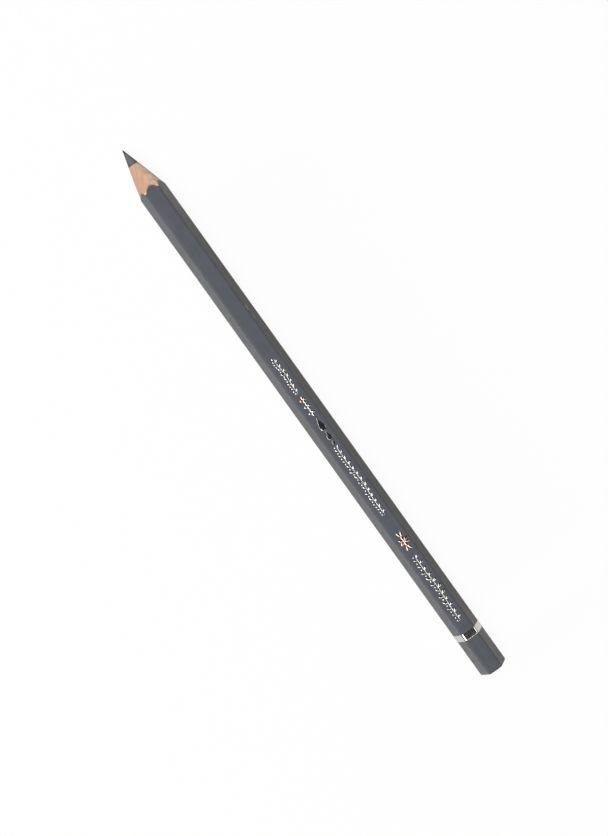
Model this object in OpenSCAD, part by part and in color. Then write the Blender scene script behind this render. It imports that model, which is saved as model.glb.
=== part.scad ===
// Hexagonal watercolour pencil: a lead between two glued slats, under an undercoat and a lacquer.
// It lies on one flat along X with its point towards +X. Sizes are in millimetres.
// The origin is on the flat that it lies on, below the middle of its length.

/* [Barrel] */
// Length from the tip of the lead to the rear end
pencil_length = 175; // [90:1:200]
// Width of the finished barrel between opposite flats
across_flats = 7.3; // [6.4:0.1:9]
// Radius of the finished barrel along the edges between its flats
edge_radius = 0.85; // [0.55:0.05:1.2]

/* [Point] */
// Full angle of the sharpened cone
point_angle = 33; // [20:0.5:45]
// Radius of the slightly worn tip
tip_radius = 0.1; // [0.05:0.01:0.3]

/* [Lead] */
// Diameter of the lead
lead_diameter = 2.8; // [2:0.1:4]
// Thickness of the adhesive sleeve between the lead and its groove
lead_glue_thickness = 0.08; // [0.05:0.01:0.15]

/* [Slats] */
// Thickness of the adhesive line between the two slats
glue_line_thickness = 0.06; // [0.04:0.01:0.15]

/* [Coats] */
// Thickness of the pale undercoat on the wood
undercoat_thickness = 0.1; // [0.05:0.01:0.2]
// Thickness of the coloured lacquer on the undercoat
lacquer_thickness = 0.1; // [0.08:0.01:0.2]

/* [Ring] */
// Length of the foil ring along the barrel
ring_width = 2.1; // [1:0.1:4]
// Distance from the ring to the rear end
ring_to_end = 11.8; // [4:0.1:20]
// Thickness of the foil, which is pressed flush into the lacquer
foil_thickness = 0.04; // [0.03:0.01:0.06]

/* [Dipped end] */
// Thickness of the dipped lacquer over the rear end of the wood
cap_thickness = 0.45; // [0.4:0.05:1]
// Radius of the rim of the dipped end
rim_radius = 0.5; // [0.2:0.05:0.5]

/* [Hidden] */

$fn = 96;

// Facets in the round of one edge, and in the round of the rim
edge_steps = 8;
rim_steps = 6;
// Steps from the middle of the tip to the start of the cone
tip_steps = 6;
// Overrun of a cutting shape beyond the piece that it cuts
over = 1;

// Height of the pencil's axis above the flat that it lies on
axis_z = across_flats / 2;

// Stations along the barrel
tip_x = pencil_length / 2;
end_x = -pencil_length / 2;
// Rear end of the lead and wood, under the dipped cap
head_x = end_x + cap_thickness;
ring_rear_x = end_x + ring_to_end;
ring_front_x = ring_rear_x + ring_width;
// The lacquer and the dipped cap meet under the middle of the ring
seam_x = (ring_rear_x + ring_front_x) / 2;

// Depth of the wood below the finished surface
wood_depth = lacquer_thickness + undercoat_thickness;
groove_diameter = lead_diameter + 2 * lead_glue_thickness;

// The cone meets the round tip where both have the same slope
half_angle = point_angle / 2;
tip_edge_radius = tip_radius * cos(half_angle);
tip_edge_length = tip_radius * (1 - sin(half_angle));
// Radius at which the cone has left every coat of the barrel
cone_radius = across_flats;
cone_length = tip_edge_length + (cone_radius - tip_edge_radius) / tan(half_angle);

lead_colour = [0.36, 0.37, 0.4];
wood_colour = [0.8, 0.65, 0.53];
glue_colour = [0.88, 0.82, 0.66];
undercoat_colour = [0.86, 0.85, 0.82];
lacquer_colour = [0.37, 0.38, 0.41];
silver_colour = [0.8, 0.8, 0.8];

// Rounded six-sided outline at a depth below the finished surface.
// Every depth shares the centres of its rounds, so one coat lies evenly on the next.
function outline(depth) = [
  for (corner = [0:5])
    for (step = [0:edge_steps])
      let (
        to_corner = 60 * corner,
        direction = to_corner - 30 + 60 * step / edge_steps,
        reach = (across_flats / 2 - edge_radius) / cos(30),
        radius = edge_radius - depth
      )
      [
        reach * cos(to_corner) + radius * cos(direction),
        reach * sin(to_corner) + radius * sin(direction)
      ]
];

// Half profile of the sharpened point: radius, and distance behind the tip
function point_profile() = concat(
  [
    for (step = [0:tip_steps])
      let (turn = (90 - half_angle) * step / tip_steps)
      [tip_radius * sin(turn), tip_radius * (1 - cos(turn))]
  ],
  [
    [cone_radius, cone_length],
    [cone_radius, pencil_length + cone_length],
    [0, pencil_length + cone_length]
  ]
);

// Solid six-sided bar between two stations
module bar(depth, from_x, to_x) {
  translate([from_x, 0, axis_z])
    rotate([90, 0, 90])
      linear_extrude(to_x - from_x)
        polygon(outline(depth));
}

// Six-sided sleeve between two stations, from one depth to a deeper one
module sleeve(outer_depth, inner_depth, from_x, to_x) {
  translate([from_x, 0, axis_z])
    rotate([90, 0, 90])
      linear_extrude(to_x - from_x)
        difference() {
          polygon(outline(outer_depth));
          polygon(outline(inner_depth));
        }
}

// Round bar on the axis between two stations
module rod(diameter, from_x, to_x) {
  translate([from_x, 0, axis_z])
    rotate([0, 90, 0])
      cylinder(d = diameter, h = to_x - from_x);
}

// Turns the front of a piece to the cone of the point
module sharpened() {
  intersection() {
    children();
    translate([tip_x, 0, axis_z])
      rotate([0, -90, 0])
        rotate_extrude()
          polygon(point_profile());
  }
}

// Seat of the foil ring, pressed into the lacquer on both sides of the seam
module ring_seat() {
  sleeve(-over, foil_thickness, ring_rear_x, ring_front_x);
}

module lead() {
  color(lead_colour)
    sharpened()
      rod(lead_diameter, head_x, tip_x);
}

module lead_glue() {
  color(glue_colour)
    sharpened()
      difference() {
        rod(groove_diameter, head_x, tip_x);
        rod(lead_diameter, head_x - over, tip_x + over);
      }
}

// One half of the casing: bottom_z is the lower limit of the half
module slat(bottom_z) {
  color(wood_colour)
    sharpened()
      difference() {
        intersection() {
          bar(wood_depth, head_x, tip_x);
          translate([head_x - over, -across_flats, bottom_z])
            cube([pencil_length + over, 2 * across_flats, across_flats]);
        }
        rod(groove_diameter, head_x - over, tip_x + over);
      }
}

module upper_slat() {
  slat(axis_z + glue_line_thickness / 2);
}

module lower_slat() {
  slat(axis_z - glue_line_thickness / 2 - across_flats);
}

// Adhesive between the slats on one side of the lead: near_y is the side's lower limit
module glue_line(near_y) {
  color(glue_colour)
    sharpened()
      difference() {
        intersection() {
          bar(wood_depth, head_x, tip_x);
          translate([head_x - over, near_y, axis_z - glue_line_thickness / 2])
            cube([pencil_length + over, across_flats, glue_line_thickness]);
        }
        rod(groove_diameter, head_x - over, tip_x + over);
      }
}

module left_glue_line() {
  glue_line(0);
}

module right_glue_line() {
  glue_line(-across_flats);
}

module undercoat() {
  color(undercoat_colour)
    sharpened()
      sleeve(lacquer_thickness, wood_depth, head_x, tip_x);
}

module barrel_lacquer() {
  color(lacquer_colour)
    sharpened()
      difference() {
        sleeve(0, lacquer_thickness, seam_x, tip_x);
        ring_seat();
      }
}

module silver_ring() {
  color(silver_colour)
    sleeve(0, foil_thickness, ring_rear_x, ring_front_x);
}

// Dipped end: its rim is rounded by bars that get longer as they get narrower
module end_cap() {
  color(lacquer_colour)
    difference() {
      hull()
        for (step = [0:rim_steps])
          let (turn = 90 * step / rim_steps)
            bar(rim_radius * (1 - cos(turn)), end_x + rim_radius * (1 - sin(turn)), seam_x);
      bar(lacquer_thickness, head_x, seam_x + over);
      ring_seat();
    }
}

lead();
lead_glue();
upper_slat();
lower_slat();
left_glue_line();
right_glue_line();
undercoat();
barrel_lacquer();
silver_ring();
end_cap();
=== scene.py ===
# %% [markdown]
# A sharpened six-sided watercolour pencil, lying in a white studio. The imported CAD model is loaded
# first as a fixed frame: every length below is in metres in its axes, with +X towards the point, +Z
# up, and the flat that the pencil lies on at z = 0. The pencil is built in Blender as it is built
# in a workshop, layer by layer: the lead, its glue, two cedar slats, an undercoat and a lacquer.
# One cone then cuts them all, as a sharpener does.

# %% Load the frame
import math

import bpy
import numpy as np
from mathutils import Matrix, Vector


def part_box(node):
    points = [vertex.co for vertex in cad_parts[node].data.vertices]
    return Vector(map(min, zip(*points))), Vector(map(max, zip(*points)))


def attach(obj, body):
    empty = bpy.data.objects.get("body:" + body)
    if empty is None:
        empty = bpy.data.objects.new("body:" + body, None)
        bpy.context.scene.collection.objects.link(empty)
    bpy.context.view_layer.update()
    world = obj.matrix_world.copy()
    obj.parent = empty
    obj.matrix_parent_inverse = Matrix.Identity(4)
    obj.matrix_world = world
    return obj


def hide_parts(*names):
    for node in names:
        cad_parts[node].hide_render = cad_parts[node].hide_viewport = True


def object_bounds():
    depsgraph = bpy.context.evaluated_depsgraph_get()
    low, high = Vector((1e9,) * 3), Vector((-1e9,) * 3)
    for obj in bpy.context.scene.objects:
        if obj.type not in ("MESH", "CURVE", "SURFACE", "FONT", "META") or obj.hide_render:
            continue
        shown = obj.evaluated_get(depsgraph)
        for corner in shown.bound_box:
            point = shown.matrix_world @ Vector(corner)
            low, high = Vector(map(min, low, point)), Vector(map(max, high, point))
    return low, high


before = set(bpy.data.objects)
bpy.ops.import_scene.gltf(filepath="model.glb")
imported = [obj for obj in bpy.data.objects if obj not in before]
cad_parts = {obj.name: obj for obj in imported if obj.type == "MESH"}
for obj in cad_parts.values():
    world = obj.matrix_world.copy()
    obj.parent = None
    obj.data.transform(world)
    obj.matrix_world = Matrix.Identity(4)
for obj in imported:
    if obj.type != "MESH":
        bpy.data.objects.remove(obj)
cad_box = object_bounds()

scene = bpy.context.scene
scene.view_settings.view_transform = "Standard"
print("CAD box in mm:", np.round(np.array(cad_box) * 1000, 2).tolist())

# %% [markdown]
# The main sizes are read from the frame, so each surface lies where its solid does. The thin coats
# and the small radii can't be read from a box, so they are written here in millimetres and turned
# into metres once.

# %% Sizes of the pencil
MM = 0.001
low, high = np.array(cad_box)
END_X, TIP_X = low[0], high[0]
TOP_Z = high[2]
ACROSS_FLATS = high[2] - low[2]
AXIS_Z = (low[2] + high[2]) / 2
HEAD_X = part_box("lead")[0].x
SEAM_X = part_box("barrel_lacquer")[0].x
RING_REAR_X, RING_FRONT_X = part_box("silver_ring")[0].x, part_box("silver_ring")[1].x

EDGE_RADIUS = 0.85 * MM
HALF_POINT = math.radians(33 / 2)
TIP_RADIUS = 0.1 * MM
LEAD_RADIUS = 1.4 * MM
LEAD_GLUE = 0.08 * MM
GLUE_LINE = 0.06 * MM
UNDERCOAT = 0.1 * MM
LACQUER = 0.1 * MM
FOIL = 0.04 * MM
RIM_RADIUS = 0.5 * MM

# The cone's own apex lies a little in front of the worn tip
APEX_X = TIP_X + TIP_RADIUS * (1 / math.sin(HALF_POINT) - 1)
print("length and width across the flats in mm:",
      round((TIP_X - END_X) / MM, 2), round(ACROSS_FLATS / MM, 2))

# %% [markdown]
# The camera comes before the pieces, so that each render can be laid beside the photograph from the
# start. It looks down on the pencil through a long lens, leans a few degrees towards the point, and
# is turned so that the pencil runs from the upper left to the lower right. The angles come from a
# fit to the ring, the end and the point. Three unit vectors make the camera's matrix: right, up,
# and back towards the eye.

# %% Camera
IMAGE_HEIGHT = 836
FOCAL_PIXELS = 2322
SENSOR = 36.0
LEAN = math.radians(7.55)
ROLL = math.radians(0.76)
TURN = math.radians(234.35)
DISTANCE = 0.6318
SIDE_STEP, UP_STEP = -2.17 * MM, -1.12 * MM

back = np.array([math.sin(LEAN), math.cos(LEAN) * math.sin(ROLL), math.cos(LEAN) * math.cos(ROLL)])
along = np.array([1.0, 0, 0]) - back * back[0]
along /= np.linalg.norm(along)
across = np.cross(back, along)
right = math.cos(TURN) * along + math.sin(TURN) * across
up = np.cross(back, right)
eye = np.array([0, 0, AXIS_Z]) + back * DISTANCE + right * SIDE_STEP + up * UP_STEP

lens = bpy.data.cameras.new("camera")
lens.sensor_fit = "VERTICAL"
lens.sensor_height = SENSOR
lens.lens = SENSOR * FOCAL_PIXELS / IMAGE_HEIGHT
lens.clip_start = 0.01
camera = bpy.data.objects.new("camera", lens)
scene.collection.objects.link(camera)
pose = np.eye(4)
pose[:3, 0], pose[:3, 1], pose[:3, 2], pose[:3, 3] = right, up, back, eye
camera.matrix_world = Matrix(pose.tolist())
scene.camera = camera
print("lens in mm:", round(lens.lens, 1), "eye in mm:", np.round(eye * 1000, 1).tolist())

# %% [markdown]
# Every piece is a grid of points: rows run round the pencil and columns run along a section of it.
# One function joins the grid's points into faces. A row or column may close on itself, and a first
# or last column may shrink to one point, which is how a tip or the middle of an end face is closed.
# Another function makes the object, and turns all faces round if they enclose a negative volume. It
# also sets the point a little off the middle, as a sharpener does: all points of the cone move to
# the left by their share of the way to the tip, and points behind the cone stay where they are.

# %% Grids and solids
OFF_MIDDLE = 0.13 * MM
CONE_LENGTH = 12 * MM
# Points on one step of this size become one, and edges sharper than this many degrees stay sharp
WELD_STEP = 1e-8
CREASE = 32


def grid_faces(rows, columns, close_rows=True, close_columns=False):
    """Faces between neighbours on a grid: point (i, j) is number i * columns + j, and each face
    joins (i, j), (i + 1, j), (i + 1, j + 1) and (i, j + 1), counting on from the start where the
    grid closes."""
    i = np.arange(rows if close_rows else rows - 1)[:, None]
    j = np.arange(columns if close_columns else columns - 1)[None, :]
    i2, j2 = (i + 1) % rows, (j + 1) % columns
    corners = [i * columns + j, i2 * columns + j, i2 * columns + j2, i * columns + j2]
    return np.stack(np.broadcast_arrays(*corners), axis=-1).reshape(-1, 4)


def weld(points, faces):
    """Points that share one place become one point. A four-sided face that loses a corner keeps its
    other three, and one that loses two is dropped. The last result gives each old point its new
    number."""
    keys = np.round(points / WELD_STEP).astype(np.int64)
    _, first, same = np.unique(keys, axis=0, return_index=True, return_inverse=True)
    same = same.reshape(-1)
    faces = same[faces]
    repeats = faces == np.roll(faces, 1, axis=1)
    lost = repeats.sum(axis=1)
    triangles = faces[lost == 1][~repeats[lost == 1]].reshape(-1, 3)
    return points[first], faces[lost == 0].tolist() + triangles.tolist(), same


def make_piece(name, points, faces, material, replaces=(), crease=CREASE, sides=()):
    """A closed mesh: its volume is a sixth of the sum of a . (b x c) over its triangles, and a
    negative sum means that the faces look inwards, so they are turned round. Sides are
    many-cornered faces."""
    points, faces, same = weld(points.reshape(-1, 3), faces)
    points[:, 1] += OFF_MIDDLE * np.clip(1 - (TIP_X - points[:, 0]) / CONE_LENGTH, 0, 1)
    mesh = bpy.data.meshes.new(name)
    mesh.from_pydata(points.tolist(), [], faces + [same[list(side)].tolist() for side in sides])
    mesh.calc_loop_triangles()
    corners = np.empty(len(mesh.loop_triangles) * 3, dtype=np.int32)
    mesh.loop_triangles.foreach_get("vertices", corners)
    a, b, c = points[corners.reshape(-1, 3)].transpose(1, 0, 2)
    volume = np.einsum("ij,ij->i", a, np.cross(b, c)).sum() / 6
    if volume < 0:
        mesh.flip_normals()
    mesh.shade_smooth()
    mesh.set_sharp_from_angle(angle=math.radians(crease))
    mesh.materials.append(material)
    piece = bpy.data.objects.new(name, mesh)
    scene.collection.objects.link(piece)
    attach(piece, "root")
    if replaces:
        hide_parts(*replaces)
    print(f"{name}: {len(points)} points, {len(mesh.loop_triangles)} triangles,",
          f"{abs(volume) / MM ** 3:.3f} mm3")


# %% [markdown]
# Colours are written as they look on a screen, as sRGB hex values, and one function turns them to
# the linear values that shaders use. One more small function adds any node with its settings and
# its links.

# %% Colours and nodes
def colour(hex_value):
    """sRGB to linear: c / 12.92 up to 0.04045, else ((c + 0.055) / 1.055) to the power 2.4."""
    c = np.array([int(hex_value[i:i + 2], 16) for i in (1, 3, 5)]) / 255
    linear = np.where(c <= 0.04045, c / 12.92, ((c + 0.055) / 1.055) ** 2.4)
    return (*linear.tolist(), 1.0)


def add(tree, kind, inputs=None, **settings):
    """A node: settings are its properties, and inputs gives its sockets a value or an output."""
    new = tree.nodes.new(kind)
    for key, value in settings.items():
        setattr(new, key, value)
    for socket, value in (inputs or {}).items():
        if isinstance(value, bpy.types.NodeSocket):
            tree.links.new(value, new.inputs[socket])
        else:
            new.inputs[socket].default_value = value
    return new


def start_material(name):
    """A material with its output and its object coordinates in metres."""
    material = bpy.data.materials.new(name)
    material.use_nodes = True
    tree = material.node_tree
    tree.nodes.clear()
    place = add(tree, "ShaderNodeTexCoord").outputs["Object"]
    return material, tree, place


def per_mm(size):
    """Noise repeats about once per unit, so its scale is one over its grain in metres."""
    return 1 / (size * MM)


# %% [markdown]
# Incense cedar is the usual pencil wood: soft, straight grained and pinkish brown. The saw cuts
# each slat along the grain, so the year rings run along the barrel as faint darker lines, and the
# cone cuts across them at a low angle. Noise that is stretched along X gives the fibres and the
# warm and rosy streaks; the distance from a far heart of the tree gives the rings.

# %% Cedar: colour
YEAR_RING, STREAK = 0.85, 1.3
HEART = (0, -9 * MM, 14 * MM)
cedar, tree, place = start_material("incense_cedar")
ring_wander = add(tree, "ShaderNodeTexNoise", {
    "Vector": add(tree, "ShaderNodeMapping", {"Vector": place, "Scale": (0.12, 1, 1)}).outputs[0],
    "Scale": per_mm(2.4), "Detail": 2.0})
heart = add(tree, "ShaderNodeMapping", {
    "Vector": place, "Location": HEART, "Scale": (0.02, 1, 1)})
from_heart = add(tree, "ShaderNodeVectorMath", {0: heart.outputs[0]}, operation="LENGTH")
wandered = add(tree, "ShaderNodeMath", {
    0: ring_wander.outputs["Fac"], 1: 1.1 * MM, 2: from_heart.outputs["Value"]},
    operation="MULTIPLY_ADD")
ring_phase = add(tree, "ShaderNodeMath", {
    0: wandered.outputs[0], 1: per_mm(YEAR_RING)}, operation="MULTIPLY")
ring_saw = add(tree, "ShaderNodeMath", {0: ring_phase.outputs[0]}, operation="FRACT")
late_wood = add(tree, "ShaderNodeMapRange", {
    "Value": ring_saw.outputs[0], "From Min": 0.55, "From Max": 0.98, "To Max": 0.4},
    interpolation_type="SMOOTHSTEP")
streaks = add(tree, "ShaderNodeTexNoise", {
    "Vector": add(tree, "ShaderNodeMapping", {"Vector": place, "Scale": (0.2, 1, 1)}).outputs[0],
    "Scale": per_mm(STREAK), "Detail": 2.0})
warm = add(tree, "ShaderNodeMapRange", {
    "Value": streaks.outputs["Fac"], "From Min": 0.48, "From Max": 0.64, "To Max": 0.85})
rosy = add(tree, "ShaderNodeMapRange", {
    "Value": streaks.outputs["Fac"], "From Min": 0.48, "From Max": 0.34, "To Max": 0.75})
warmed = add(tree, "ShaderNodeMix", {
    0: warm.outputs[0], 6: colour("#C9A68E"), 7: colour("#DA9B67")}, data_type="RGBA")
# Painted light: the right side of the cone, away from the key lamp, is painted paler where the light
# is weak.
painted_fill_share = add(tree, "ShaderNodeMapRange", {
    "Value": add(tree, "ShaderNodeSeparateXYZ", {0: place}).outputs["Y"],
    "From Min": 1.0 * MM, "From Max": -2.3 * MM}, interpolation_type="SMOOTHSTEP")
painted_fill_colour = add(tree, "ShaderNodeMix", {
    0: painted_fill_share.outputs[0], 6: warmed.outputs[2], 7: colour("#F6D2B7")}, data_type="RGBA")
tinted = add(tree, "ShaderNodeMix", {
    0: rosy.outputs[0], 6: painted_fill_colour.outputs[2], 7: colour("#D29F88")}, data_type="RGBA")
ringed = add(tree, "ShaderNodeMix", {
    0: late_wood.outputs[0], 6: tinted.outputs[2], 7: colour("#BF8961")}, data_type="RGBA")
print(f"cedar rings about {YEAR_RING} mm apart, streaks about {STREAK} mm wide")

# %% [markdown]
# The fibres are the finest lines of the wood, and they also stand up a little. The sharpener's
# blade leaves faint marks round the cone, which noise that is fine along X and stretched across it
# gives as bump.

# %% Cedar: fibres and surface
FIBRE, BLADE_MARK = 0.16, 0.3
fibres = add(tree, "ShaderNodeTexNoise", {
    "Vector": add(tree, "ShaderNodeMapping", {"Vector": place, "Scale": (0.03, 1, 1)}).outputs[0],
    "Scale": per_mm(FIBRE), "Detail": 4.0, "Roughness": 0.6})
dark_fibre = add(tree, "ShaderNodeMapRange", {
    "Value": fibres.outputs["Fac"], "From Min": 0.50, "From Max": 0.74, "To Max": 0.5})
fibred = add(tree, "ShaderNodeMix", {
    0: dark_fibre.outputs[0], 6: ringed.outputs[2], 7: colour("#AE7C5C")}, data_type="RGBA")
blade_marks = add(tree, "ShaderNodeTexNoise", {
    "Vector": add(tree, "ShaderNodeMapping", {
        "Vector": place, "Scale": (1, 0.06, 0.06)}).outputs[0],
    "Scale": per_mm(BLADE_MARK), "Detail": 2.0})
wood_relief = add(tree, "ShaderNodeMath", {
    0: blade_marks.outputs["Fac"], 1: 0.6, 2: fibres.outputs["Fac"]}, operation="MULTIPLY_ADD")
wood_bump = add(tree, "ShaderNodeBump", {
    "Height": wood_relief.outputs[0], "Strength": 0.35, "Distance": 0.03 * MM})
wood_shader = add(tree, "ShaderNodeBsdfPrincipled", {
    "Base Color": fibred.outputs[2], "Roughness": 0.66, "Normal": wood_bump.outputs[0]})
add(tree, "ShaderNodeOutputMaterial", {"Surface": wood_shader.outputs[0]})
print(f"cedar fibres about {FIBRE} mm wide, blade marks about {BLADE_MARK} mm apart")

# %% [markdown]
# A watercolour lead is pigment, clay and gum pressed to a thin rod. The sharpener leaves it smooth
# and a little shiny, with fine marks round the cone. The very tip is darker from use, and the left
# side is painted darker: painted shade. A dark grey with a satin roughness and a fine grit does
# this.

# %% Pressed pigment
GRIT, SHARPENER_MARK = 0.11, 0.14
pigment, tree, place = start_material("pressed_pigment")
grit = add(tree, "ShaderNodeTexNoise", {"Vector": place, "Scale": per_mm(GRIT), "Detail": 3.0})
marks = add(tree, "ShaderNodeTexNoise", {
    "Vector": add(tree, "ShaderNodeMapping", {
        "Vector": place, "Scale": (1, 0.04, 0.04)}).outputs[0],
    "Scale": per_mm(SHARPENER_MARK), "Detail": 2.0})
to_tip = add(tree, "ShaderNodeMapRange", {
    "Value": add(tree, "ShaderNodeSeparateXYZ", {0: place}).outputs["X"],
    "From Min": TIP_X - 1.7 * MM, "From Max": TIP_X - 0.5 * MM}, interpolation_type="SMOOTHSTEP")
grey = add(tree, "ShaderNodeMix", {
    0: grit.outputs["Fac"], 6: colour("#5E6064"), 7: colour("#7C7D82")}, data_type="RGBA")
worn = add(tree, "ShaderNodeMix", {
    0: to_tip.outputs[0], 6: grey.outputs[2], 7: colour("#1E1F21")}, data_type="RGBA")
relief = add(tree, "ShaderNodeMath", {
    0: marks.outputs["Fac"], 1: grit.outputs["Fac"]}, operation="ADD")
# Painted shade: the left side of the lead is mixed towards a darker grey.
painted_shade_left = add(tree, "ShaderNodeMapRange", {
    "Value": add(tree, "ShaderNodeSeparateXYZ", {0: place}).outputs["Y"],
    "From Min": 0.1 * MM, "From Max": 1.3 * MM, "To Max": 0.55})
wear_and_shade = add(tree, "ShaderNodeMix", {
    0: painted_shade_left.outputs[0], 6: worn.outputs[2], 7: colour("#3C3D40")}, data_type="RGBA")
lead_bump = add(tree, "ShaderNodeBump", {
    "Height": relief.outputs[0], "Strength": 0.3, "Distance": 0.02 * MM})
lead_shader = add(tree, "ShaderNodeBsdfPrincipled", {
    "Base Color": wear_and_shade.outputs[2], "Roughness": 0.7, "Specular IOR Level": 0.15,
    "Normal": lead_bump.outputs[0]})
add(tree, "ShaderNodeOutputMaterial", {"Surface": lead_shader.outputs[0]})
print(f"pigment grit about {GRIT} mm, sharpener marks about {SHARPENER_MARK} mm")

# %% [markdown]
# Dried wood glue is brownish and slightly glossy. Pigment from the lead stains it where the cone
# cuts it. The undercoat is a matt pale filler that hides the wood's pores under the colour: only
# its cut edge shows, as a thin rim round each scallop. On the flats the blade drags brown wood over
# it, and in the valleys, which are further from the axis, it stays clean and pale. So the distance
# from the axis mixes the two colours.

# %% Glue and undercoat
GLUE_STAIN, SMEAR = 0.5, 0.9
glue, tree, place = start_material("dried_wood_glue")
stain = add(tree, "ShaderNodeTexNoise", {
    "Vector": place, "Scale": per_mm(GLUE_STAIN), "Detail": 2.0})
glue_colour = add(tree, "ShaderNodeMix", {
    0: stain.outputs["Fac"], 6: colour("#463C36"), 7: colour("#6E5C4E")}, data_type="RGBA")
glue_shader = add(tree, "ShaderNodeBsdfPrincipled", {
    "Base Color": glue_colour.outputs[2], "Roughness": 0.45})
add(tree, "ShaderNodeOutputMaterial", {"Surface": glue_shader.outputs[0]})

filler, tree, place = start_material("chalk_undercoat")
smears = add(tree, "ShaderNodeTexNoise", {
    "Vector": place, "Scale": per_mm(SMEAR), "Detail": 3.0})
section = add(tree, "ShaderNodeMapping", {
    "Vector": place, "Location": (0, 0, -AXIS_Z), "Scale": (0, 1, 1)})
from_axis = add(tree, "ShaderNodeVectorMath", {0: section.outputs[0]}, operation="LENGTH")
ragged_radius = add(tree, "ShaderNodeMath", {
    0: smears.outputs["Fac"], 1: 0.3 * MM, 2: from_axis.outputs["Value"]},
    operation="MULTIPLY_ADD")
clean = add(tree, "ShaderNodeMapRange", {
    "Value": ragged_radius.outputs[0], "From Min": 3.72 * MM, "From Max": 4.0 * MM})
filler_colour = add(tree, "ShaderNodeMix", {
    0: clean.outputs[0], 6: colour("#AC8E7A"), 7: colour("#DDD3C6")}, data_type="RGBA")
filler_shader = add(tree, "ShaderNodeBsdfPrincipled", {
    "Base Color": filler_colour.outputs[2], "Roughness": 0.7})
add(tree, "ShaderNodeOutputMaterial", {"Surface": filler_shader.outputs[0]})
print(f"glue stains about {GLUE_STAIN} mm, smears on the undercoat about {SMEAR} mm")

# %% [markdown]
# The barrel is drawn several times through a ring of wet lacquer, so it has a satin gloss, faint
# lengthwise streaks and a slight orange peel. Satin lacquer scatters its gloss widely: a flat that
# is seen at a low angle picks up the white table and looks paler and less blue. A warm white sheen
# in the shader gives that. One edge is rubbed in two places, where the pale undercoat shows
# through. Each is a mask on the distance from its middle, which counts less along the barrel than
# across it, with a ragged border from noise.

# %% Grey lacquer
RUBBED = ((34.2 * MM, -2.42 * MM, 6.68 * MM, 1.0), (31.1 * MM, -2.42 * MM, 6.68 * MM, 0.45))
PULL_STREAK, CLOUD, ORANGE_PEEL, RUBBED_GRAIN = 0.7, 3.5, 0.6, 0.25


def grey_lacquer(name, wear_and_shade):
    """Satin lacquer: a bluish grey that varies with long streaks and soft clouds, over orange-peel
    bump. Each worn place has a middle and the share of the colour that it lost."""
    material, tree, place = start_material(name)
    streaks = add(tree, "ShaderNodeTexNoise", {
        "Vector": add(tree, "ShaderNodeMapping", {
            "Vector": place, "Scale": (0.02, 1, 1)}).outputs[0],
        "Scale": per_mm(PULL_STREAK), "Detail": 3.0})
    clouds = add(tree, "ShaderNodeTexNoise", {
        "Vector": place, "Scale": per_mm(CLOUD), "Detail": 3.0})
    tone = add(tree, "ShaderNodeMath", {
        0: streaks.outputs["Fac"], 1: 0.5, 2: clouds.outputs["Fac"]}, operation="MULTIPLY_ADD")
    tone_range = add(tree, "ShaderNodeMapRange", {
        "Value": tone.outputs[0], "From Min": 0.45, "From Max": 1.05})
    grey = add(tree, "ShaderNodeMix", {
        0: tone_range.outputs[0], 6: colour("#4D5057"), 7: colour("#565962")}, data_type="RGBA")
    paint = grey.outputs[2]
    for x, y, z, lost in wear_and_shade:
        ragged = add(tree, "ShaderNodeTexNoise", {
            "Vector": place, "Scale": per_mm(RUBBED_GRAIN), "Detail": 3.0})
        offset = add(tree, "ShaderNodeVectorMath", {0: place, 1: (x, y, z)}, operation="SUBTRACT")
        shortened = add(tree, "ShaderNodeVectorMath", {
            0: offset.outputs["Vector"], 1: (0.3, 1, 1)}, operation="MULTIPLY")
        away = add(tree, "ShaderNodeVectorMath", {
            0: shortened.outputs["Vector"]}, operation="LENGTH")
        border = add(tree, "ShaderNodeMath", {
            0: ragged.outputs["Fac"], 1: -0.4 * MM, 2: away.outputs["Value"]},
            operation="MULTIPLY_ADD")
        bare = add(tree, "ShaderNodeMapRange", {
            "Value": border.outputs[0], "From Min": -0.1 * MM, "From Max": 0.12 * MM,
            "To Min": lost, "To Max": 0.0})
        worn = add(tree, "ShaderNodeMix", {
            0: bare.outputs[0], 6: paint, 7: colour("#C6C5C0")}, data_type="RGBA")
        paint = worn.outputs[2]
    peel = add(tree, "ShaderNodeTexNoise", {
        "Vector": place, "Scale": per_mm(ORANGE_PEEL), "Detail": 2.0})
    satin = add(tree, "ShaderNodeMapRange", {
        "Value": clouds.outputs["Fac"], "To Min": 0.5, "To Max": 0.62})
    bump = add(tree, "ShaderNodeBump", {
        "Height": peel.outputs["Fac"], "Strength": 0.2, "Distance": 0.012 * MM})
    shader = add(tree, "ShaderNodeBsdfPrincipled", {
        "Base Color": paint, "Roughness": satin.outputs[0], "Specular IOR Level": 0.25,
        "Sheen Weight": 1.0, "Sheen Roughness": 0.44, "Sheen Tint": colour("#FFFAF0"),
        "Normal": bump.outputs[0]})
    add(tree, "ShaderNodeOutputMaterial", {"Surface": shader.outputs[0]})
    print(f"{name} with orange peel about {ORANGE_PEEL} mm")
    return material


barrel_paint = grey_lacquer("grey_barrel_lacquer", RUBBED)
dip_paint = grey_lacquer("grey_dip_lacquer", ())

# %% [markdown]
# The ring and the marks are hot foil: a film of aluminium that a heated die presses into the
# lacquer. A tint in its varnish gives the copper-coloured kind. Foil mirrors what is round it, so a
# flat that faces the camera looks dark and a slope flashes. A slight crinkle and fine scratches
# break the reflections up.

# %% Hot foil
CRINKLE, SCRATCH = 0.35, 0.12


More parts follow.
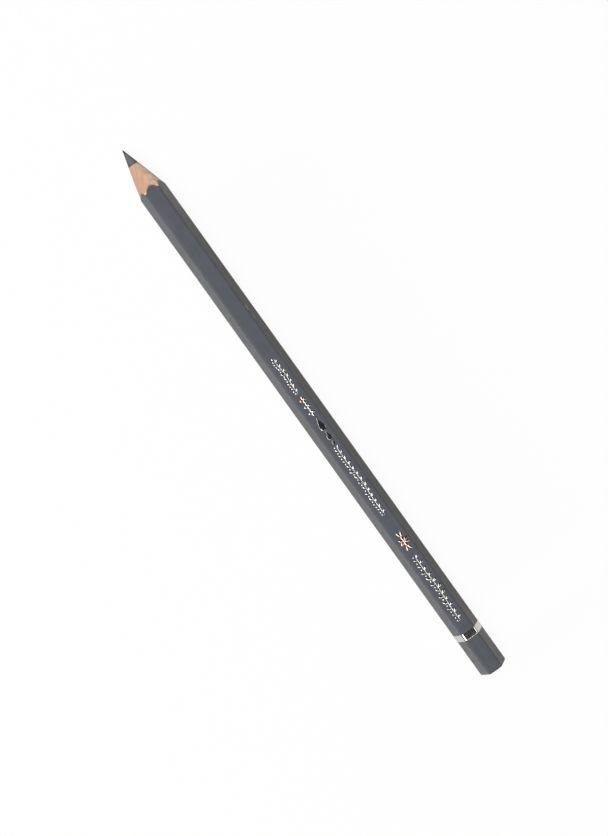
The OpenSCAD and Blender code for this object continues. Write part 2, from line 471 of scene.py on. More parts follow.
def hot_foil(name, tint):
    """Mirror-bright metal: scratches round the barrel set its roughness, a crinkle its bump."""
    material, tree, place = start_material(name)
    crinkle = add(tree, "ShaderNodeTexNoise", {
        "Vector": place, "Scale": per_mm(CRINKLE), "Detail": 3.0})
    scratches = add(tree, "ShaderNodeTexNoise", {
        "Vector": add(tree, "ShaderNodeMapping", {
            "Vector": place, "Scale": (1, 0.08, 0.08)}).outputs[0],
        "Scale": per_mm(SCRATCH), "Detail": 2.0})
    rough = add(tree, "ShaderNodeMapRange", {
        "Value": scratches.outputs["Fac"], "From Min": 0.3, "From Max": 0.8,
        "To Min": 0.07, "To Max": 0.22})
    bump = add(tree, "ShaderNodeBump", {
        "Height": crinkle.outputs["Fac"], "Strength": 0.4, "Distance": 0.012 * MM})
    shader = add(tree, "ShaderNodeBsdfPrincipled", {
        "Base Color": colour(tint), "Metallic": 1.0, "Roughness": rough.outputs[0],
        "Normal": bump.outputs[0]})
    add(tree, "ShaderNodeOutputMaterial", {"Surface": shader.outputs[0]})
    print(f"{name} with a crinkle about {CRINKLE} mm")
    return material


silver = hot_foil("silver_hot_foil", "#D8D7D1")
copper = hot_foil("copper_hot_foil", "#E6C1AA")

# %% [markdown]
# A rounded hexagon is six arcs joined by six flats. A coat of even thickness shifts each of its
# points along the outward direction there, so one outline with its directions gives every layer of
# the pencil.

# %% Outline of the barrel
ARC_STEPS = 12
FLAT_STEPS = 20
corner = np.radians(60 * np.arange(6))[:, None]
sweep = corner + np.radians(np.linspace(-30, 30, ARC_STEPS + 1))[None, :]
reach = (ACROSS_FLATS / 2 - EDGE_RADIUS) / math.cos(math.radians(30))
centre = reach * np.stack([np.cos(corner), np.sin(corner)], axis=-1)
arc_out = np.stack([np.cos(sweep), np.sin(sweep)], axis=-1)
arc = centre + EDGE_RADIUS * arc_out
share = np.linspace(0, 1, FLAT_STEPS + 1)[None, 1:-1, None]
flat = arc[:, -1:] * (1 - share) + np.roll(arc, -1, axis=0)[:, :1] * share
flat_out = np.broadcast_to(arc_out[:, -1:], flat.shape)
OUTLINE = np.concatenate([arc, flat], axis=1).reshape(-1, 2)
OUTWARD = np.concatenate([arc_out, flat_out], axis=1).reshape(-1, 2)
AROUND = len(OUTLINE)


def outline(depth):
    """The outline at a depth below the surface: each point moved back against its direction."""
    return OUTLINE - depth * OUTWARD


print("outline points:", AROUND, "across corners in mm:", round(2 * OUTLINE[:, 0].max() * 1000, 3))

# %% [markdown]
# A sharpener cuts all layers with one cone, so one function gives the cut for any point of a
# section. A blade never cuts quite evenly: the thin tips of the scallops break back, the cone is a
# little oval and askew, and the edge wanders. Each of these is one term in the angle round the
# axis. Together they move the edge of the lacquer by some tenths of a millimetre along the barrel.
# The cube of the share of the way out from the lead keeps them to the coats and the wood just
# inside them, so the rest of the cone stays straight.

# %% Cut of the sharpener
CUT_SHIFT = -0.3 * MM
CHIPPED = 0.17 * MM
OVAL = 0.38 * MM
ASKEW = 0.15 * MM
UNEVEN = 0.05 * MM


def cut_x(points):
    """The cone: x falls from the apex by the distance from the axis over the tangent of half the
    point. To that comes a sum of six, two, one and many waves round the axis, times the cubed share
    of the way out."""
    radius = np.linalg.norm(points, axis=-1)
    angle = np.arctan2(points[..., 1], points[..., 0])
    wander = (CUT_SHIFT + CHIPPED * np.cos(6 * angle) - OVAL * np.cos(2 * angle)
              - ASKEW * np.cos(angle) ** 3
              + UNEVEN * (np.sin(7 * angle + 1) + np.sin(17 * angle)))
    outwards = np.clip((radius - LEAD_RADIUS) / (ACROSS_FLATS / 2 - LEAD_RADIUS), 0, 1)
    return APEX_X - radius / math.tan(HALF_POINT) + wander * outwards ** 3


front_x = cut_x(OUTLINE)
print("scallops reach from", np.round((TIP_X - front_x.max()) / MM, 2), "to",
      np.round((TIP_X - front_x.min()) / MM, 2), "mm behind the tip")

# %% [markdown]
# The saw that cuts the pencils to length leaves the rear end slightly bowed, and a little shorter
# on the left side. The lead and the wood end on this surface, and the dipped cap follows it at an
# even thickness.

# %% Bow of the rear end
BOW_PER_MM, LEAN_PER_MM = 0.02, 0.0075


def bow(y):
    """How far the end falls back at y: a share of y squared, and a share of y times its size."""
    y = y / MM
    return (BOW_PER_MM * y ** 2 + LEAN_PER_MM * y * np.abs(y)) * MM


print("the left corner is shorter by", round(bow(OUTLINE[:, 0].max()) / MM, 2), "mm")

# %% [markdown]
# Every layer is the space between two outlines, from its rear end to the cone. Along one line of
# the layer the section runs forwards on the outer wall, inwards on the cone and back on the inner
# wall. The outer wall stops where the cone reaches its own radius: a corner is further out than a
# flat, so it stops further back, and the scallops of a sharpened pencil come out by themselves.

# %% One layer of the pencil
def layer_grid(outer, inner, stations, cut_steps, seam_x=None):
    """Section of a layer: the outer wall at shares of its length, the cone from outer to inner, the
    inner wall. A layer starts at a seam, or else where the saw cut the wood: the head's x plus the
    bow."""
    wall = outer[:, None, :] * np.ones((1, len(stations), 1))
    start = HEAD_X + bow(outer[:, :1]) if seam_x is None else np.full((len(outer), 1), seam_x)
    wall_x = start + stations * (cut_x(outer)[:, None] - start)
    part = np.linspace(0, 1, cut_steps + 1)[None, 1:, None]
    face = outer[:, None, :] * (1 - part) + inner[:, None, :] * part
    inner_start = HEAD_X + bow(inner[:, :1]) if seam_x is None else start
    x = np.concatenate([wall_x, cut_x(face), inner_start], axis=1)
    yz = np.concatenate([wall, face, inner[:, None, :]], axis=1)
    return np.concatenate([x[..., None], yz + [0, AXIS_Z]], axis=-1)


def make_sleeve(name, grid, material, node):
    """A piece from a grid that closes both ways: round the pencil and round its section."""
    faces = grid_faces(*grid.shape[:2], close_columns=True)
    make_piece(name, grid, faces, material, [node])


# Stations crowd towards the cone, where the outline is seen most closely
WALL_STEPS = 60
WALL_STATIONS = 1 - np.linspace(1, 0, WALL_STEPS + 1) ** 2
print("wall stations:", len(WALL_STATIONS))

# %% [markdown]
# The lead is turned, so its profile of radius against X is spun round the axis: a flat rear end
# under the dipped cap, a straight rod, the cone, and a small round tip that meets the cone at the
# same slope.

# %% Lead
LEAD_AROUND = 96
ROD_POINTS, CONE_POINTS, TIP_POINTS = 12, 40, 8
tip_turn = np.linspace(math.pi / 2 - HALF_POINT, 0, TIP_POINTS)
tip_r = TIP_RADIUS * np.sin(tip_turn)
tip_x = TIP_X - TIP_RADIUS * (1 - np.cos(tip_turn))
cone_r = np.linspace(LEAD_RADIUS, tip_r[0], CONE_POINTS)
cone_x = APEX_X - cone_r / math.tan(HALF_POINT)
lead_r = np.concatenate([[0], np.full(ROD_POINTS, LEAD_RADIUS), cone_r[1:-1], tip_r])
lead_x = np.concatenate([
    [HEAD_X], np.linspace(HEAD_X, cone_x[0], ROD_POINTS), cone_x[1:-1], tip_x])
turn = np.linspace(0, 2 * math.pi, LEAD_AROUND, endpoint=False)[:, None]
lead_points = np.stack([
    lead_x + 0 * turn, lead_r * np.cos(turn), AXIS_Z + lead_r * np.sin(turn)], axis=-1)
lead_points[:, :2, 0] += bow(lead_points[:, :2, 1])
make_piece("pigment_lead", lead_points, grid_faces(LEAD_AROUND, len(lead_x)),
           pigment, ["lead"])

# %% [markdown]
# The glue round the lead is a thin sleeve with a round outline inside and out, cut by the same
# cone.

# %% Lead glue
GROOVE_RADIUS = LEAD_RADIUS + LEAD_GLUE
SLEEVE_STATIONS = np.linspace(0, 1, 5)
SLEEVE_CUT_STEPS = 4
circle = np.concatenate([np.cos(turn), np.sin(turn)], axis=1)
sleeve = layer_grid(
    GROOVE_RADIUS * circle, LEAD_RADIUS * circle, SLEEVE_STATIONS, SLEEVE_CUT_STEPS)
make_sleeve("lead_glue_sleeve", sleeve, glue, "lead_glue")

# %% [markdown]
# A slat is half of the casing. Its outer wall is half of the outline and its inner wall is half of
# the groove, both stopped at the glue line. The rows don't close here: the first and last row are
# the flat sides along the glue line, and each becomes one many-cornered face.

# %% Slats
SLAT_CUT_STEPS = 60
# Radius of the wood along the edges of the barrel
WOOD_EDGE = EDGE_RADIUS - LACQUER - UNDERCOAT


def slat_grid(side):
    """Half a layer: outline points beyond the glue line on one side, +1 up or -1 down, with the
    exact ends added, and groove points that share the angle range of the groove in the same
    proportion."""
    half = GLUE_LINE / 2
    wood = outline(LACQUER + UNDERCOAT)
    angle = np.arctan2(wood[:, 1], wood[:, 0])
    above = wood[:, 1] > half
    shell = wood[above][np.argsort(angle[above])]
    end_y = reach + math.sqrt(WOOD_EDGE ** 2 - half ** 2)
    outer = np.concatenate([[[end_y, half]], shell, [[-end_y, half]]])
    first = math.asin(half / GROOVE_RADIUS)
    polar = np.arctan2(outer[:, 1], outer[:, 0])
    spread = np.interp(polar, [polar[0], polar[-1]], [first, math.pi - first])
    inner = GROOVE_RADIUS * np.stack([np.cos(spread), np.sin(spread)], axis=-1)
    mirror = np.array([1, side])
    return layer_grid(outer * mirror, inner * mirror, WALL_STATIONS, SLAT_CUT_STEPS)


def make_half(name, grid, material, node):
    """A piece whose rows don't close: its first and last row are many-cornered faces."""
    rows, columns = grid.shape[:2]
    first_side = np.arange(columns)
    last_side = (rows * columns - 1) - np.arange(columns)
    faces = grid_faces(rows, columns, close_rows=False, close_columns=True)
    make_piece(name, grid, faces, material, [node], sides=[first_side, last_side])


make_half("upper_cedar_slat", slat_grid(1), cedar, "upper_slat")
make_half("lower_cedar_slat", slat_grid(-1), cedar, "lower_slat")

# %% [markdown]
# The two glue lines fill the gap between the slats, one on each side of the lead. Each is a thin
# strip between two rows of points, the gap's lower and upper face, from the edge of the groove out
# to the undercoat.

# %% Glue lines
strip_z = np.array([-GLUE_LINE / 2, GLUE_LINE / 2])
strip_outer = np.stack([reach + np.sqrt(WOOD_EDGE ** 2 - strip_z ** 2), strip_z], axis=-1)
strip_inner = np.stack([np.sqrt(GROOVE_RADIUS ** 2 - strip_z ** 2), strip_z], axis=-1)
for name, side, node in (("left_glue_strip", 1, "left_glue_line"),
                         ("right_glue_strip", -1, "right_glue_line")):
    mirror = np.array([side, 1])
    strip = layer_grid(strip_outer * mirror, strip_inner * mirror, WALL_STATIONS, SLAT_CUT_STEPS)
    make_half(name, strip, glue, node)

# %% [markdown]
# The coats follow: the undercoat between the wood and the colour, then the lacquer itself. The
# lacquer lies a few hundredths of a millimetre below the CAD surface, which leaves room for the
# foil to stand on it inside the CAD box.

# %% Undercoat and lacquer
SINK = 0.035 * MM
COAT_CUT_STEPS = 6
coat = layer_grid(
    outline(LACQUER), outline(LACQUER + UNDERCOAT), WALL_STATIONS[::4], COAT_CUT_STEPS)
make_sleeve("undercoat_film", coat, filler, "undercoat")
skin = layer_grid(
    outline(SINK), outline(LACQUER), WALL_STATIONS, COAT_CUT_STEPS, seam_x=SEAM_X)
make_sleeve("barrel_lacquer_skin", skin, barrel_paint, "barrel_lacquer")

# %% [markdown]
# The dipped end is one closed cup. Its section starts in the middle of the end face, runs out to
# the rim, round it, along the outside to the seam under the ring, and back inside to the middle of
# the wood's end. The end face is very slightly crowned, as a drop of lacquer dries. The bow of the
# wood shifts the face and the rim as a whole, and fades out along the outside.

# %% Dipped end
CROWN = 0.04 * MM
FACE_POINTS, RIM_POINTS, SIDE_POINTS = 16, 12, 12
face_share = np.linspace(0, 1, FACE_POINTS)[:-1]
rim_turn = np.linspace(0, math.pi / 2, RIM_POINTS)
rim_depth = SINK + RIM_RADIUS * (1 - np.sin(rim_turn))
rim_x = END_X + CROWN + RIM_RADIUS * (1 - np.cos(rim_turn))
face_edge = outline(SINK + RIM_RADIUS)
face_yz = face_edge[:, None, :] * face_share[None, :, None]
face_x = END_X + CROWN * face_share ** 2
rim_yz = OUTLINE[:, None, :] - rim_depth[None, :, None] * OUTWARD[:, None, :]
side_x = np.linspace(rim_x[-1], SEAM_X, SIDE_POINTS)[1:]
side_yz = np.repeat(outline(SINK)[:, None, :], len(side_x), axis=1)
pocket_x = np.array([SEAM_X, HEAD_X, HEAD_X])
pocket_yz = np.stack([outline(LACQUER), outline(LACQUER), 0 * OUTLINE], axis=1)
bow_share = np.concatenate([
    np.ones(len(face_x) + len(rim_x)), np.linspace(1, 0, len(side_x) + 1)[1:], [0, 1, 1]])
cup_yz = np.concatenate([face_yz, rim_yz, side_yz, pocket_yz], axis=1)
cup_x = np.concatenate([face_x, rim_x, side_x, pocket_x]) + bow_share * bow(cup_yz[..., 0])
cup = np.concatenate([cup_x[..., None], cup_yz + [0, AXIS_Z]], axis=-1)
make_piece("dipped_end", cup, grid_faces(*cup.shape[:2]), dip_paint, ["end_cap"])

# %% [markdown]
# The foil ring is a thin band round the barrel. Both of its edges are rolled down to the lacquer by
# the die, and the rolled rear edge catches the light as a thin bright line. The ring is rolled on,
# so it runs a little askew: on the left side it is further forward, by the square of the share of
# the way out to that side.

# %% Silver ring
ROLL_WIDTH, ROLL_DROP, ROLL_POINTS = 0.24 * MM, 0.85 * SINK, 6
PRESSED = 0.001 * MM
RING_SKEW = 0.3 * MM
roll_share = np.linspace(0, 1, ROLL_POINTS)
roll_depth = PRESSED + ROLL_DROP * (1 - roll_share) ** 2
ring_x = np.concatenate([
    RING_REAR_X + ROLL_WIDTH * roll_share, RING_FRONT_X - ROLL_WIDTH * roll_share[::-1],
    [RING_FRONT_X, RING_REAR_X]])
ring_depth = np.concatenate([roll_depth, roll_depth[::-1], [FOIL, FOIL]])
band_yz = OUTLINE[:, None, :] - ring_depth[None, :, None] * OUTWARD[:, None, :]
skew = RING_SKEW * np.clip(OUTLINE[:, :1] / OUTLINE[:, 0].max(), 0, 1) ** 2
band = np.concatenate([(ring_x + skew)[..., None], band_yz + [0, AXIS_Z]], axis=-1)
make_sleeve("silver_ring_foil", band, silver, "silver_ring")

# %% [markdown]
# The flat that faces the camera carries a plain foil ornament of leaves, flowers and water drops,
# for a lead that dissolves in water. A die presses each stroke as a low roof, so one slope flashes
# and the other stays dark. A mark is a closed outline in polar form, filled by rings that shrink to
# its middle and rise to the ridge; a flat back under the lacquer closes it. All marks of a group
# are worked out as one array.

# %% Shapes of the foil marks
SPOKES = 32
spoke = np.linspace(0, 2 * math.pi, SPOKES, endpoint=False)
RIDGE_GAP = 0.003 * MM
RIDGE_Z = TOP_Z - RIDGE_GAP
RIM_Z = TOP_Z - SINK
BACK_Z = TOP_Z - 1.5 * SINK
RINGS = np.array([0, 0.25, 0.45, 0.6, 0.72, 0.82, 0.91, 0.97, 1.0])
FOIL_CREASE = 50
TEAR_WIDTH = 1.3
# The die met the flat a little to the right of its middle
LINE_Y = -0.2


def disc():
    """A circle: x is cos and y is sin."""
    return np.stack([np.cos(spoke), np.sin(spoke)], axis=-1)


def leaf():
    """A pointed oval: x is cos, and y is sin times its own size, so both ends come to a point."""
    return np.stack([np.cos(spoke), np.sin(spoke) * np.abs(np.sin(spoke))], axis=-1)


def drop():
    """A tear pointed at +x: x is cos, and y is sin times the squared sine of the half angle."""
    y = TEAR_WIDTH * np.sin(spoke) * np.sin(spoke / 2) ** 2
    return np.stack([np.cos(spoke), y], axis=-1)


def stamp(name, shape, middles, halves, turns=0.0, roof=2.5, material=silver):
    """Marks of one shape: the outline is sized by its halves, turned, and set on its middle. The
    height falls from the ridge to the rim as the share of the radius to the power roof: 2 is a low
    dome, 60 is nearly flat."""
    middles = (np.atleast_2d(middles) + [0, LINE_Y]) * MM
    halves = np.broadcast_to(np.array(halves) * MM, middles.shape)
    turns = np.broadcast_to(turns, len(middles))
    sized = shape[None] * halves[:, None, :]
    c, s = np.cos(turns)[:, None], np.sin(turns)[:, None]
    turned = np.stack([
        sized[..., 0] * c - sized[..., 1] * s, sized[..., 0] * s + sized[..., 1] * c], axis=-1)
    ring = np.concatenate([RINGS, [1.0, 0.0]])
    height = np.concatenate([RIDGE_Z + (RIM_Z - RIDGE_Z) * RINGS ** roof, [BACK_Z, BACK_Z]])
    flat_xy = middles[:, None, None, :] + turned[:, :, None, :] * ring[None, None, :, None]
    z = np.broadcast_to(height, flat_xy.shape[:3])[..., None]
    points = np.concatenate([flat_xy, z], axis=-1)
    one = grid_faces(SPOKES, len(ring))
    shift = (np.arange(len(middles)) * SPOKES * len(ring))[:, None, None]
    faces = (one[None] + shift).reshape(-1, 4)
    make_piece(name, points, faces, material, crease=FOIL_CREASE)


print("marks stand", round((RIDGE_Z - RIM_Z) / MM, 3), "mm on the lacquer")

# %% [markdown]
# A sprig is a gently curved stem with leaves that stand on its two sides in turn, fuller in the
# middle and smaller towards both ends. The stem is a ribbon with a low rounded section, carried
# along a sine curve; it narrows to a point at both ends.

# %% Stems
STEM_POINTS, STEM_HALF, SWING, TAPER = 160, 0.075, 0.16, 0.8
RIBBON = np.array([-1, -0.75, -0.4, 0, 0.4, 0.75, 1])


def stem(name, from_x, to_x, wave):
    """A ribbon along y = swing * sin(2 pi x / wave): its points are the curve plus a share of the
    half width along the curve's normal, and the section is a low parabola with a flat back."""
    x = np.linspace(from_x, to_x, STEM_POINTS)
    phase = 2 * math.pi * (x - from_x) / wave
    slope = 2 * math.pi * SWING / wave * np.cos(phase)
    normal = np.stack([-slope, np.ones_like(x)], axis=-1) / np.sqrt(1 + slope ** 2)[:, None]
    taper = np.clip(np.minimum(x - x.min(), x.max() - x) / TAPER, 0, 1)
    side = np.concatenate([RIBBON, [1, -1]])
    height = np.concatenate([RIDGE_Z + (RIM_Z - RIDGE_Z) * RIBBON ** 2, [BACK_Z, BACK_Z]])
    middle = np.stack([x, LINE_Y + SWING * np.sin(phase)], axis=-1)
    offset = (STEM_HALF * taper)[:, None, None] * side[None, :, None] * normal[:, None, :]
    xy = middle[:, None, :] + offset
    points = np.concatenate([xy * MM, np.broadcast_to(height, xy.shape[:2])[..., None]], axis=-1)
    faces = grid_faces(*xy.shape[:2], close_rows=False, close_columns=True)
    make_piece(name, points, faces, silver, crease=FOIL_CREASE)


print("stems", 2 * STEM_HALF, "mm wide, swinging by", SWING, "mm")

# %% [markdown]
# No two leaves of a drawn sprig are quite alike, so two slow waves over the leaf numbers vary their
# size and their angle. This looks drawn by hand, and it is the same in each run.

# %% Sprigs
WAVES = 1.5
LEAF_GAP, LEAF_SLIM = 0.1, 0.42
END_SIZE, GROWTH = 0.72, 0.28
SIZE_WAVE, SIZE_STEP = 0.12, 2.4
ANGLE_WAVE, ANGLE_STEP = 0.22, 1.7
BERRY_OFF, BERRY_RADIUS = 0.62, 0.19


def sprig(name, from_x, to_x, leaves, leaf_half, lean):
    """Leaves at even steps along a stem, on its two sides in turn. A leaf's size grows and falls as
    the sine of its share of the way, its angle swings a little, and its middle stands off the stem
    by half its height. A round berry stands across the stem from every second leaf."""
    wave = abs(to_x - from_x) / WAVES
    stem(f"{name}_stem", to_x, from_x, wave)
    number = np.arange(leaves)
    share = (number + 0.5) / leaves
    x = to_x + share * (from_x - to_x)
    side = np.where(number % 2 == 0, 1, -1)
    grown = END_SIZE + GROWTH * np.sin(math.pi * share)
    size = leaf_half * grown * (1 + SIZE_WAVE * np.sin(SIZE_STEP * number))
    angle = math.radians(lean) + ANGLE_WAVE * np.sin(ANGLE_STEP * number)
    stem_y = SWING * np.sin(2 * math.pi * (x - to_x) / wave)
    y = stem_y + side * (LEAF_GAP + size * np.sin(angle))
    halves = np.stack([size, LEAF_SLIM * size], axis=-1)
    stamp(f"{name}_leaves", leaf(), np.stack([x, y], axis=-1), halves, side * angle)
    berries = np.stack([x[1::2], stem_y[1::2] + BERRY_OFF], axis=-1)
    stamp(f"{name}_berries", disc(), berries, BERRY_RADIUS, roof=2)


sprig("foil_short_sprig", -10.3, -33.9, leaves=26, leaf_half=0.62, lean=52)
sprig("foil_long_sprig", -47.6, -70.2, leaves=22, leaf_half=0.72, lean=58)

# %% [markdown]
# A shorter sprig, three small flowers, three water drops and a copper rosette fill the other places
# of the ornament. The drops are nearly flat, so they mirror the dark room and look black.

# %% Flowers, drops and rosette
ROSETTE_X = -42.7


def wreath(name, x, petals, off, halves, foil):
    """Petals round a middle at x, in even steps: each stands off by its angle's cos and sin."""
    angle = np.radians(360 / petals * np.arange(petals))
    middles = np.stack([x + off * np.cos(angle), off * np.sin(angle)], axis=-1)
    stamp(name, leaf(), middles, halves, angle, material=foil)


sprig("foil_front_sprig", 19.1, 7.0, leaves=15, leaf_half=0.56, lean=56)
for name, flower_x, foil in (
        ("foil_first_flower", 5.0, copper), ("foil_second_flower", 2.9, silver),
        ("foil_third_flower", 0.8, silver)):
    wreath(name, flower_x, petals=4, off=0.55, halves=(0.5, 0.27), foil=foil)
stamp("foil_water_drops", drop(), middles=[[-3.1, 0], [-6.85, 0], [-9.2, 0]],
      halves=[(2.1, 1.0), (1.45, 0.85), (0.7, 0.52)], roof=60)
wreath("foil_rosette", ROSETTE_X, petals=6, off=0.85, halves=(0.78, 0.33), foil=copper)
stamp("foil_rosette_boss", disc(), middles=[[ROSETTE_X, 0]], halves=0.3, roof=2)
stamp("foil_rosette_sprays", leaf(),
      middles=[[-40.5, 0.42], [-40.5, -0.42], [-44.9, 0.42], [-44.9, -0.42]],
      halves=(0.75, 0.25), turns=np.radians([25, -25, -25, 25]), material=copper)

# %% [markdown]
# The stage is a white studio cove: a floor that curves up into a round wall. Its profile of radius
# against height is spun like the lead's. Rays from the camera see mostly an even white with a
# little of the real shading mixed in, so the background is white and the pencil still has a faint
# shadow. Mirrors see a part of that white too, and more of the real shading. Other rays see plain
# white card, which throws light back up.

# %% White cove
FLOOR_RADIUS, COVE_RADIUS, WALL_TOP = 2.2, 0.8, 1.8
CAMERA_WHITE, MIRROR_WHITE = 0.95, 0.05
COVE_AROUND, BEND_POINTS, CARD_FIBRE = 96, 13, 1.5
FLOOR_RINGS = [0, 0.2, 0.8]
card_white, tree, place = start_material("white_card")
fibre = add(tree, "ShaderNodeTexNoise", {
    "Vector": place, "Scale": per_mm(CARD_FIBRE), "Detail": 2.0})
card_tone = add(tree, "ShaderNodeMix", {
    0: fibre.outputs["Fac"], 6: colour("#EFEEEC"), 7: colour("#F4F3F1")}, data_type="RGBA")
card_shade = add(tree, "ShaderNodeBsdfDiffuse", {"Color": card_tone.outputs[2]})
even_white = add(tree, "ShaderNodeEmission", {"Color": colour("#FFFFFF"), "Strength": 1.0})
ray = add(tree, "ShaderNodeLightPath")
mirrored = add(tree, "ShaderNodeMath", {
    0: ray.outputs["Is Glossy Ray"], 1: ray.outputs["Is Transmission Ray"]}, operation="MAXIMUM")
mirror_share = add(tree, "ShaderNodeMath", {
    0: mirrored.outputs[0], 1: MIRROR_WHITE}, operation="MULTIPLY")
white_share = add(tree, "ShaderNodeMath", {
    0: ray.outputs["Is Camera Ray"], 1: CAMERA_WHITE, 2: mirror_share.outputs[0]},
    operation="MULTIPLY_ADD")
cove_mix = add(tree, "ShaderNodeMixShader", {
    0: white_share.outputs[0], 1: card_shade.outputs[0], 2: even_white.outputs[0]})
add(tree, "ShaderNodeOutputMaterial", {"Surface": cove_mix.outputs[0]})

spokes = np.linspace(0, 2 * math.pi, COVE_AROUND, endpoint=False)[:, None]
bend = np.linspace(0, math.pi / 2, BEND_POINTS)
cove_r = np.concatenate([
    FLOOR_RINGS, FLOOR_RADIUS + COVE_RADIUS * np.sin(bend), [FLOOR_RADIUS + COVE_RADIUS]])
cove_z = np.concatenate([
    np.zeros(len(FLOOR_RINGS)), COVE_RADIUS * (1 - np.cos(bend)), [WALL_TOP]])
cove_grid = np.stack([
    cove_r * np.cos(spokes), cove_r * np.sin(spokes), cove_z + 0 * spokes], axis=-1)
cove_points, cove_faces, _ = weld(
    cove_grid.reshape(-1, 3), grid_faces(COVE_AROUND, len(cove_z)))
cove_mesh = bpy.data.meshes.new("white_cove")
cove_mesh.from_pydata(cove_points.tolist(), [], cove_faces)
cove_mesh.shade_smooth()
cove_mesh.materials.append(card_white)
cove = bpy.data.objects.new("white_cove", cove_mesh)
scene.collection.objects.link(cove)
print("cove radius in m:", FLOOR_RADIUS + COVE_RADIUS)

# %% [markdown]
# A large soft lamp stands over the left side of the pencil, so the top flat and the left flat get
# most of the light. A weaker one in front lights the cone of the point. Two small ones are there
# for the foil ring alone: one draws the bright line on its right-hand edge, and the other the line
# on its rear rim. They light nothing but reflections. The room adds a little light from all round.

# %% Light
ROOM_LIGHT = 0.06
LAMP_DISTANCE = 1.0


def softbox(name, direction, size, watts):
    """A lamp at one distance along a direction, with its own z axis pointing away from the pencil.
    Its first size lies across the pencil and its second along it."""
    data = bpy.data.lights.new(name, "AREA")
    data.shape = "RECTANGLE"
    data.size, data.size_y = size
    data.energy = watts
    lamp = bpy.data.objects.new(name, data)
    away = np.array(direction) / np.linalg.norm(direction)
    side = np.cross([1.0, 0, 0], away)
    side /= np.linalg.norm(side)
    turn = np.eye(4)
    turn[:3, :3] = np.stack([side, np.cross(away, side), away], axis=1)
    turn[:3, 3] = away * LAMP_DISTANCE
    lamp.matrix_world = Matrix(turn.tolist())
    lamp.visible_camera = False
    scene.collection.objects.link(lamp)
    print(name, "of", size, "m,", watts, "W")
    return lamp


softbox("key_softbox", direction=(0.0, 0.47, 0.88), size=(0.6, 1.1), watts=10.4)
softbox("front_softbox", direction=(0.75, -0.12, 0.63), size=(0.8, 0.8), watts=3.0)
for glint in (
        softbox("side_glint", direction=(-0.25, -0.66, 0.72), size=(0.3, 0.25), watts=0.7),
        softbox("rear_glint", direction=(-0.54, 0.0, 0.84), size=(0.5, 0.12), watts=0.6)):
    glint.visible_diffuse = False

world = bpy.data.worlds.new("room")
world.use_nodes = True
tree = world.node_tree
tree.nodes.clear()
room = add(tree, "ShaderNodeBackground", {"Color": colour("#FFFFFF"), "Strength": ROOM_LIGHT})
add(tree, "ShaderNodeOutputWorld", {"Surface": room.outputs[0]})
scene.world = world

# %% [markdown]
# A photographer hangs a black card over a shiny thing, so that a mirror-bright flat that faces the
# lens has something dark to reflect. The card here does the same for the ring and the foil marks,
# and only mirrors see it. It is darkest over the front half, for the drops, which should look
# black.

# %% Overhead card
CARD_POINTS, CARD_NAP = 5, 2.0
hung_card, tree, place = start_material("hung_black_card")
nap = add(tree, "ShaderNodeTexNoise", {
    "Vector": place, "Scale": per_mm(CARD_NAP), "Detail": 2.0})
dark_tone = add(tree, "ShaderNodeMix", {
    0: nap.outputs["Fac"], 6: colour("#404042"), 7: colour("#505052")}, data_type="RGBA")
to_front = add(tree, "ShaderNodeMapRange", {
    "Value": add(tree, "ShaderNodeSeparateXYZ", {0: place}).outputs["X"],
    "From Min": -0.24, "From Max": -0.14})
graded = add(tree, "ShaderNodeMix", {
    0: to_front.outputs[0], 6: dark_tone.outputs[2], 7: colour("#242426")}, data_type="RGBA")
hung_shade = add(tree, "ShaderNodeBsdfDiffuse", {"Color": graded.outputs[2]})
add(tree, "ShaderNodeOutputMaterial", {"Surface": hung_shade.outputs[0]})


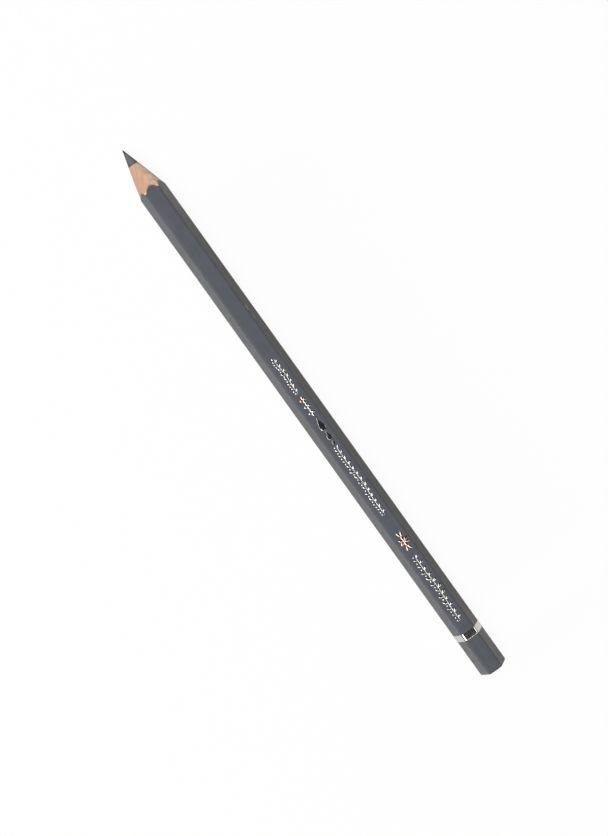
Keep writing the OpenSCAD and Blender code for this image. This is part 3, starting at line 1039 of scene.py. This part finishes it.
def lay_card(name, x_range, y_range, height, material):
    """A flat grid over two ranges at one height, which camera and shadow rays don't meet."""
    x, y = np.meshgrid(
        np.linspace(*x_range, CARD_POINTS), np.linspace(*y_range, CARD_POINTS), indexing="ij")
    points = np.stack([x, y, np.full_like(x, height)], axis=-1).reshape(-1, 3)
    mesh = bpy.data.meshes.new(name)
    faces = grid_faces(CARD_POINTS, CARD_POINTS, close_rows=False)
    mesh.from_pydata(points.tolist(), [], faces.tolist())
    mesh.materials.append(material)
    card = bpy.data.objects.new(name, mesh)
    scene.collection.objects.link(card)
    card.visible_camera = False
    card.visible_shadow = False
    print(name, "at height", height)
    return card


overhead = lay_card("overhead_card", x_range=(-0.45, 0.1), y_range=(-0.2, 0.1), height=0.75,
                    material=hung_card)
overhead.visible_diffuse = False

# %% [markdown]
# A second card lies on the table to the right of the barrel and takes away the light that the table
# would throw back on that side, which keeps the far flat and its edge dark. It fades out towards
# its ends and its far side, so it leaves no border on the white of the table, and it has a clear
# gap where the ring mirrors the white table.

# %% Table card
# The middle of the place that the ring mirrors
MIRRORED_X = -0.0775
table_black, tree, place = start_material("table_black_card")
part = add(tree, "ShaderNodeSeparateXYZ", {0: place}).outputs
past_gap = add(tree, "ShaderNodeMath", {0: part["X"], 1: MIRRORED_X}, operation="SUBTRACT")
from_gap = add(tree, "ShaderNodeMath", {0: past_gap.outputs[0]}, operation="ABSOLUTE")
whole_fade = 1.0
for value, clear_at, dark_at, darkest in (
        (part["X"], 0.078, 0.058, 1), (part["X"], -0.102, -0.084, 1),
        (from_gap.outputs[0], 0.001, 0.012, 1), (part["Y"], -0.07, -0.02, 0.85)):
    fade = add(tree, "ShaderNodeMapRange", {
        "Value": value, "From Min": clear_at, "From Max": dark_at, "To Max": darkest},
        interpolation_type="SMOOTHSTEP")
    whole_fade = add(tree, "ShaderNodeMath", {
        0: whole_fade, 1: fade.outputs[0]}, operation="MULTIPLY").outputs[0]
table_shade = add(tree, "ShaderNodeBsdfDiffuse", {"Color": colour("#404042")})
clear = add(tree, "ShaderNodeBsdfTransparent")
faded = add(tree, "ShaderNodeMixShader", {
    0: whole_fade, 1: clear.outputs[0], 2: table_shade.outputs[0]})
add(tree, "ShaderNodeOutputMaterial", {"Surface": faded.outputs[0]})
lay_card("table_card", x_range=(-0.104, 0.08), y_range=(-0.075, -0.005), height=0.001,
         material=table_black)
